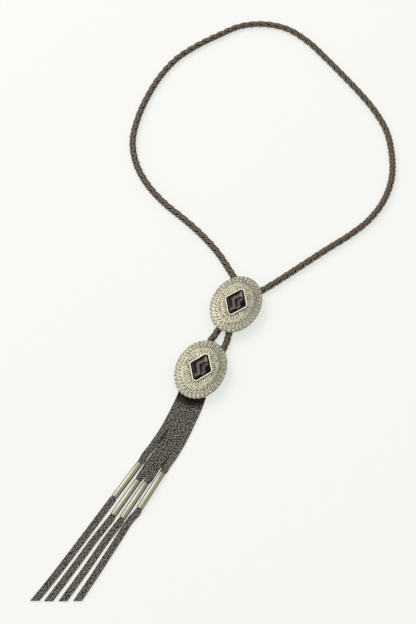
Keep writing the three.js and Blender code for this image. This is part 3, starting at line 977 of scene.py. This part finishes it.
@dataclass
class BraidedCord:
    """A round braid of four leather laces, two each way, over one and under one."""

    leather: bpy.types.Material
    diameter: float = 4.5 * MM
    lying: float = 2.35 * MM  # height of its middle on the table
    held: float = 3.35 * MM  # and in the end clamp
    clamp_spread: float = 5.2 * MM
    clamp_half: float = 6.0 * MM
    pitch: float = 13.0 * MM  # of one lace round the cord
    mean: float = 1.72 * MM  # from the cord's middle to a lace's
    weave: float = 0.32 * MM  # how far a lace goes over and under
    lace_thickness: float = 0.9 * MM
    lace_spread: float = 4.3 * MM  # round the cord
    core: float = 1.4 * MM
    press: float = 0.92  # of its height, from its own weight and from being rolled up
    step: float = 0.6 * MM
    sides: int = 12
    fullness: Span = (0.55, 0.75)  # below 1, a lace's section is fuller than an oval

    def route(self) -> np.ndarray:
        """Returns the cord's middle line, through the same points as the solid model's."""
        loop = [
            (-0.071, 0.096), (-0.148, 0.141), (-0.233, 0.177), (-0.321, 0.205), (-0.411, 0.230),
            (-0.499, 0.265), (-0.581, 0.318), (-0.644, 0.391), (-0.675, 0.477), (-0.687, 0.566),
            (-0.685, 0.655), (-0.664, 0.741), (-0.621, 0.814), (-0.565, 0.883), (-0.503, 0.948),
            (-0.421, 0.988), (-0.326, 1.000), (-0.227, 0.979), (-0.133, 0.941), (-0.041, 0.900),
            (0.049, 0.858), (0.135, 0.811), (0.211, 0.753), (0.268, 0.677), (0.305, 0.596),
            (0.313, 0.510), (0.294, 0.430), (0.255, 0.359), (0.208, 0.294), (0.162, 0.228),
            (0.118, 0.164), (0.074, 0.102),
        ]
        up = [(-5.6, -35, 2.75), (-4.2, -26, 2.45), (-3.1, -17, 2.75), (-3.1, -8.5, 3.35),
              (-3.1, 1, 3.35), (-3.1, 7.5, 3.35), (-4.4, 13, 3), (-7.6, 17.8, 2.5)]
        down = [(8.6, 15.4, 2.6), (4.4, 10.2, 3.1), (3.1, 5.2, 3.35), (3.1, -1.5, 3.35),
                (3.1, -8.5, 3.35), (3.5, -17, 2.75), (5, -26, 2.45), (5.2, -35, 2.75)]
        tail = self.clamp_half - 1.5 * MM
        mouth = self.clamp_half + 1 * MM
        points = [from_lower(-self.clamp_spread, -tail, self.held),
                  from_lower(-self.clamp_spread, mouth, self.held)]
        points += [(x * MM, y * MM, z * MM) for x, y, z in up]
        points += [(x * LOOP_WIDTH, y * LOOP_LENGTH, self.lying) for x, y in loop]
        points += [(x * MM, y * MM, z * MM) for x, y, z in down]
        points += [from_lower(self.clamp_spread, mouth, self.held),
                   from_lower(self.clamp_spread, -tail, self.held)]
        return curve_through(points, 24)

    def tube_faces(self, first: int, rows: int) -> list[list[int]]:
        """Lists the faces of a closed tube made of rings, turned outwards.

        Args:
            first: Number of its first vertex.
            rows: How many rings it has, each anticlockwise as seen from the first one.

        Returns:
            The vertex numbers of each face.
        """
        row, place = np.meshgrid(
            first + np.arange(rows - 1) * self.sides, np.arange(self.sides), indexing="ij"
        )
        a, b = row + place, row + (place + 1) % self.sides
        walls = np.stack([a + self.sides, b + self.sides, b, a], axis=-1).reshape(-1, 4)
        start = np.arange(first, first + self.sides)
        end = start[::-1] + (rows - 1) * self.sides
        return [*walls.tolist(), start.tolist(), end.tolist()]

    def build(self) -> bpy.types.Object:
        line = evenly(self.route(), self.step)
        heading = np.gradient(line, axis=0)
        heading /= np.linalg.norm(heading, axis=1)[:, None]
        side = np.cross(heading, UP)
        side /= np.linalg.norm(side, axis=1)[:, None]
        over = np.cross(side, heading) * self.press
        along = np.arange(len(line)) * self.step
        around = np.linspace(0, 2 * np.pi, self.sides, endpoint=False)
        wide, tall = (
            np.sign(wave) * np.abs(wave) ** power
            for wave, power in zip((np.cos(around), np.sin(around)), self.fullness)
        )
        spread = wide * self.lace_spread / 2 / (self.mean + self.weave)
        top = self.mean + self.weave + self.lace_thickness / 2
        # Each tube is a radius and an angle about the line, with how far across its lace a point lies and
        # how deep it lies, which sets its painted shade.
        tubes = []
        for lace in range(4):
            way = 1 if lace < 2 else -1
            # Turned by an eighth, so that the laces meet in a row of V's along the top.
            turn = way * 2 * np.pi * along / self.pitch + (lace % 2) * np.pi + np.pi / 4
            middle = self.mean + way * self.weave * np.cos(4 * np.pi * along / self.pitch)
            radius = middle[:, None] + tall * self.lace_thickness / 2
            tubes.append((radius, turn[:, None] - spread, np.abs(np.cos(around)),
                          (top - radius) / (2 * self.weave + self.lace_thickness)))
        # The core that the laces are braided round is painted fully deep, so it shows as painted shade,
        # nearly black, between them.
        tubes.append((np.full((len(line), 1), self.core), around[None], np.zeros(self.sides),
                      np.ones((len(line), self.sides))))
        points, faces, across, deep = [], [], [], []
        for number, (radius, angle, apart, depth) in enumerate(tubes):
            ring = (
                line[:, None] + (radius * np.cos(angle))[..., None] * side[:, None]
                + (radius * np.sin(angle))[..., None] * over[:, None]
            )
            points.append(ring.reshape(-1, 3))
            faces += self.tube_faces(number * len(line) * self.sides, len(line))
            across.append(np.tile(apart, len(line)))
            deep.append(depth.ravel())
        made = new_mesh("cord_look", np.vstack(points), faces)
        paint(made, "across", np.concatenate(across))
        paint(made, "deep", np.concatenate(deep))
        made.data.materials.append(self.leather)
        for polygon in made.data.polygons:
            polygon.use_smooth = True
        declare(made, "cord")
        return made


# ---- Fringe -----------------------------------------------------------------------------------------


@dataclass(frozen=True)
class StripPlan:
    """Where one strip and its tube bead lie, in strip widths aside and shares of the fringe down."""

    above: tuple[Span, ...]
    bead: Span
    lean: float  # degrees
    below: tuple[Span, ...]


STRIPS = (
    StripPlan(((-0.91, 0.227), (-1.0, 0.273), (-1.28, 0.33), (-1.59, 0.379)), (-2.23, 0.484), 9.8,
              ((-3.17, 0.658), (-3.69, 0.743), (-4.21, 0.826), (-4.77, 0.91), (-5.4, 0.993))),
    StripPlan(((0.05, 0.227), (-0.02, 0.273), (-0.23, 0.33), (-0.6, 0.402)), (-1.35, 0.544), 8.2,
              ((-2.35, 0.726), (-2.83, 0.809), (-3.33, 0.891), (-3.87, 0.975))),
    StripPlan(((1.01, 0.227), (0.98, 0.273), (0.79, 0.33), (0.42, 0.402)), (-0.21, 0.541), 6.8,
              ((-0.98, 0.708), (-1.38, 0.791), (-1.81, 0.872), (-2.29, 0.955))),
    StripPlan(((1.97, 0.227), (1.96, 0.273), (1.81, 0.33), (1.54, 0.382)), (1.15, 0.484), 5.7,
              ((0.6, 0.612), (0.31, 0.692), (0.0, 0.773), (-0.31, 0.853), (-0.69, 0.934))),
)


@dataclass
class Bead:
    """A plain tube on one strip."""

    number: int
    plan: StripPlan
    metal: bpy.types.Material
    length: float = 26.0 * MM
    width: float = 4.1 * MM  # the tubes are pressed a little flat
    height: float = 3.1 * MM
    wall: float = 0.3 * MM
    broken_edge: float = 0.09 * MM
    shift: float = 0.08  # to the right, in strip widths
    seam: float = math.radians(16)  # from the crown, towards the right
    shaded_flank_span: Span = (0.8, 1.15)  # radians from the crown over which the painted shade sets in

    def ends(self) -> tuple[Vector, Vector, Vector]:
        """Returns the upper end, the lower end and the direction from the one to the other."""
        lean = math.radians(self.plan.lean)
        heading = Vector((-math.sin(lean), -math.cos(lean), 0))
        middle = on_fringe((self.plan.bead[0] + self.shift, self.plan.bead[1]), self.height / 2)
        return middle - heading * self.length / 2, middle + heading * self.length / 2, heading

    def build(self) -> bpy.types.Object:
        """Models the tube: an open cylinder with a wall and broken edges, laid along its strip."""
        deselect()
        bpy.ops.mesh.primitive_cylinder_add(
            vertices=48, radius=self.width / 2, depth=self.length, end_fill_type="NOTHING",
            location=(0, 0, 0),
        )
        made = bpy.context.active_object
        local = coords(made) * (1, self.height / self.width, 1)
        set_coords(made, local)
        layer = made.data.uv_layers.active or made.data.uv_layers.new()
        layer.name = "tube"
        for polygon in made.data.polygons:
            turns = [math.atan2(local[v][1], local[v][0]) / (2 * math.pi) % 1 for v in polygon.vertices]
            wrap = max(turns) - min(turns) > 0.5
            for loop, turn, vertex in zip(polygon.loop_indices, turns, polygon.vertices):
                layer.data[loop].uv = (turn + (1 if wrap and turn < 0.5 else 0),
                                       local[vertex][2] / self.length + 0.5)
        modify(made, "SOLIDIFY", thickness=self.wall, offset=-1.0)
        modify(made, "BEVEL", width=self.broken_edge, segments=2, limit_method="ANGLE", angle_limit=0.9)
        local = coords(made)
        turned = np.arctan2(local[:, 0] * self.height, local[:, 1] * self.width)  # from the crown
        # The first and the last tube stand free on one side, where more light reaches them, so their painted
        # shade is lighter there.
        left, right = 0.4 if self.number == 1 else 0.85, 0.45 if self.number == len(STRIPS) else 1.0
        low = np.where(turned > 0, right, left) * smooth(*self.shaded_flank_span, np.abs(turned))
        seam = 0.4 * smooth(0.13, 0.06, np.abs(turned - self.seam))
        paint(made, "low", np.maximum(low, seam))
        top, bottom, heading = self.ends()
        axes = np.array([UP.cross(heading), UP, -heading])
        set_coords(made, np.array((top + bottom) / 2) + local @ axes)
        made.data.flip_normals()  # those axes are mirrored, which turned the faces inwards
        shade_smooth(made, 40)
        made.data.materials.append(self.metal)
        declare(made, f"tube_bead_{self.number}")
        made.data.name = made.name
        return made


@dataclass(frozen=True)
class Row:
    """One row across a strip: its middle on the grain side, its width and how far it is rolled."""

    middle: Vector
    width: float
    roll: float = 0.0  # radians


@dataclass
class Fringe:
    """One leather strap, slit into four strips that roll into their beads and lie flat below them."""

    grain: bpy.types.Material
    raw: bpy.types.Material
    beads: list[Bead]
    leather: float = 1.2 * MM
    # The strap between the clamp and the strips: places, and widths in strip widths.
    clamped: tuple[float, float, float] = (-6.3 * MM, -11.8 * MM, 2.3 * MM)  # two places down, height
    clamped_width: float = 3.55
    strap: tuple[tuple[Span, float], ...] = (
        ((0.29, 0.086), 3.69), ((0.46, 0.129), 3.75), ((0.52, 0.181), 3.77), ((0.53, 0.24), 3.83)
    )
    # Widths of a strip from the strap down to its bead; the slits stay nearly shut.
    upper_widths: tuple[float, ...] = (4.52 * MM, 4.52 * MM, 4.66 * MM, 4.72 * MM, 4.6 * MM)
    first_gap: float = 0.3 * MM  # the first strip hangs a little apart from the second
    lower_width: float = 4.25 * MM
    lower_shift: float = 0.055  # strip widths
    end_slant: float = math.radians(24.7)
    flat: float = 3.2 * MM  # from a bead's end to where its strip lies flat
    columns: tuple[float, ...] = (-0.5, -0.43, -0.36, -0.18, 0.0, 0.18, 0.36, 0.43, 0.5)
    wear_and_painted_shadow: float = 0.85  # painted shadow: how dark the strap is painted under the concho's rim
    # How dark the painted shade in each of the three slits is, and the row of the strips where it starts to
    # show.
    slits: tuple[tuple[float, int], ...] = ((1.0, 1), (0.3, 8), (0.9, 11))
    # How far a strip is rolled up, at distances from a bead's end in millimetres; negative is inside.
    rolling: tuple[Span, ...] = (
        (-1.0, 1.0), (-0.2, 0.97), (0.15, 0.86), (0.45, 0.62), (0.8, 0.34), (1.2, 0.12), (1.7, 0.02)
    )

    def ribbon(self, rows: list[Row], slant: bool) -> tuple[np.ndarray, list[tuple[int, ...]]]:
        """Lofts the grain side of a strip.

        Args:
            rows: The rows from the top down.
            slant: Whether the last row is cut at the fringe's slant.

        Returns:
            The vertices and the faces.
        """
        points = []
        for number, row in enumerate(rows):
            before = rows[max(number - 1, 0)].middle
            after = rows[min(number + 1, len(rows) - 1)].middle
            square = UP.cross(Vector((after.x - before.x, after.y - before.y, 0)).normalized())
            line, width = square, row.width
            if slant and number == len(rows) - 1:
                line = Vector((math.cos(self.end_slant), math.sin(self.end_slant), 0))
                width /= line.dot(square)
            for u in self.columns:
                across, drop = u * width, 0.0
                if row.roll > 0.02:
                    radius = width / row.roll
                    across, drop = radius * math.sin(u * row.roll), radius * (1 - math.cos(u * row.roll))
                points.append(row.middle + line * across - UP * drop)
        wide = len(self.columns)
        faces = [
            (a, a + wide, a + wide + 1, a + 1)
            for first in range(0, (len(rows) - 1) * wide, wide) for a in range(first, first + wide - 1)
        ]
        return np.array(points), faces

    def strap_rows(self) -> list[Row]:
        """Lists the rows of the strap from the clamp to the strips."""
        *depths, height = self.clamped
        path = [from_lower(0, depth, height) for depth in depths]
        path += [tuple(on_fringe(place, self.leather)) for place, _ in self.strap]
        widths = [self.clamped_width, self.clamped_width, *(width for _, width in self.strap)]
        return [
            Row(Vector(p), float(np.interp(k / 8, range(len(widths)), widths) * STRIP_WIDTH))
            for k, p in enumerate(curve_through(path, 8))
        ]

    def strip_rows(self, bead: Bead) -> list[Row]:
        """Lists the rows of one strip from the strap to its tip."""
        top, bottom, heading = bead.ends()
        bore = (bead.width + bead.height) / 4 - bead.wall
        crown = bead.height - bead.wall - 0.06 * MM
        full = self.lower_width / (bore - 0.1 * MM)  # the roll that fills the bore
        rows = []
        path = [on_fringe(p, self.leather) for p in bead.plan.above]
        path.append(Vector((*(top - heading * self.flat).xy, self.leather)))
        for k, p in enumerate(curve_through([tuple(p) for p in path], 6)):
            width = float(np.interp(k / 6, range(len(self.upper_widths)), self.upper_widths))
            if bead.number == 1:
                width -= self.first_gap * float(smooth(7, 13, k))
            rows.append(Row(Vector(p), width))
        for end, way in ((top, -1), (bottom, 1)):
            for away, rolled in self.rolling[::way]:
                point = end + heading * way * away * MM
                height = self.leather + (crown - self.leather) * float(smooth(0, 1, rolled))
                rows.append(Row(Vector((*point.xy, height)), self.lower_width, full * rolled))
        path = [bottom + heading * self.flat]
        path += [on_fringe((p[0] - self.lower_shift, p[1])) for p in bead.plan.below]
        for p in curve_through([(p.x, p.y, self.leather) for p in path], 8):
            rows.append(Row(Vector(p), self.lower_width))
        return rows

    def painted_slit_shade(self, bead: Bead, count: int) -> np.ndarray:
        """Tells how dark a strip's points are painted: painted shade along the edges of each slit, nearly
        black.

        Args:
            bead: The strip's bead.
            count: How many points the strip has.

        Returns:
            The darkness of each point.
        """
        row = np.arange(count) // len(self.columns)
        across = np.tile(self.columns, count // len(self.columns))
        dark = np.zeros(count)
        for side, number in ((-1, bead.number - 2), (1, bead.number - 1)):
            if 0 <= number < len(self.slits):
                depth, start = self.slits[number]
                at = depth * smooth(0.36, 0.43, side * across) * smooth(start, start + 4, row)
                dark = np.maximum(dark, at * smooth(27, 23, row))  # down to the beads
        return dark

    def build(self) -> bpy.types.Object:
        """Lofts strap and strips, gives them their thickness and dresses them."""
        points, faces = self.ribbon(self.strap_rows(), False)
        from_middle = (points[:, :2] - LOWER_MIDDLE) / (CONCHO_WIDTH / 2, CONCHO_LENGTH / 2)
        # Painted shadow of the lower concho's rim on the strap, darkest right under it.
        dark = self.wear_and_painted_shadow * smooth(1.2, 1.04, np.linalg.norm(from_middle, axis=1))
        for bead in self.beads:
            more, quads = self.ribbon(self.strip_rows(bead), True)
            more[: len(self.columns) * 3, 2] -= 0.02 * MM  # tucked under the strap's end
            faces += [tuple(i + len(points) for i in q) for q in quads]
            points = np.vstack([points, more])
            dark = np.concatenate([dark, self.painted_slit_shade(bead, len(more))])
        made = new_mesh("fringe_look", points, faces)
        paint(made, "dark", dark)
        modify(made, "SOLIDIFY", thickness=self.leather, offset=-1.0, use_even_offset=False)
        made.data.materials.append(self.grain)
        made.data.materials.append(self.raw)
        for polygon in made.data.polygons:
            polygon.use_smooth = False
            polygon.material_index = 0 if polygon.normal.z > 0.35 else 1
        modify(made, "BEVEL", width=0.18 * MM, segments=3, limit_method="ANGLE", angle_limit=1.0)
        lying = coords(made)
        lying[:, 2] = np.maximum(lying[:, 2], 0)  # pressed flat where it meets the table
        set_coords(made, lying)
        shade_smooth(made, 40)
        declare(made, "fringe")
        return made


# ---- The whole picture ------------------------------------------------------------------------------


def dress_clips(metal: bpy.types.Material) -> None:
    """Gives the two hidden clips, which keep their own solids, their metal."""
    for node in ("slide_clip", "end_clamp"):
        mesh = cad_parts[node].data
        mesh.materials.clear()
        mesh.materials.append(metal)


def main() -> None:
    """Builds the picture, piece by piece."""
    logging.basicConfig(level=logging.INFO, format="%(name)s: %(message)s")
    studio = Studio()
    studio.place_camera()
    cord = BraidedCord(LaceLeather().make()).build()
    log.info("cord: %d faces", len(cord.data.polygons))
    silver, stone = AntiqueSilver().make(), RibbonedStone().make()
    # The lower concho is a shade smaller, and looks moved a little from its solid.
    lower = (LOWER_MIDDLE[0] + 0.2 * MM, LOWER_MIDDLE[1] + 0.35 * MM)
    for concho in (
        Concho("upper_concho", "upper_stone", (0.0, 0.0), 0.0, silver, stone),
        Concho("lower_concho", "lower_stone", lower, LOWER_TURN, silver, stone,
               length=CONCHO_LENGTH - 0.8 * MM, width=CONCHO_WIDTH - 0.4 * MM),
    ):
        pieces = concho.build()
        log.info("%s: %s faces", concho.name, [len(p.data.polygons) for p in pieces])
    metal = SatinTube().make()
    beads = [Bead(i + 1, plan, metal) for i, plan in enumerate(STRIPS)]
    for bead in beads:
        log.info("tube bead %d: %d faces", bead.number, len(bead.build().data.polygons))
    fringe = Fringe(PebbledLeather().make(), RawLeather().make(), beads).build()
    log.info("fringe: %d faces", len(fringe.data.polygons))
    dress_clips(StampedMetal().make())
    studio.lay_table()
    studio.light()


if __name__ == "__main__":
    main()
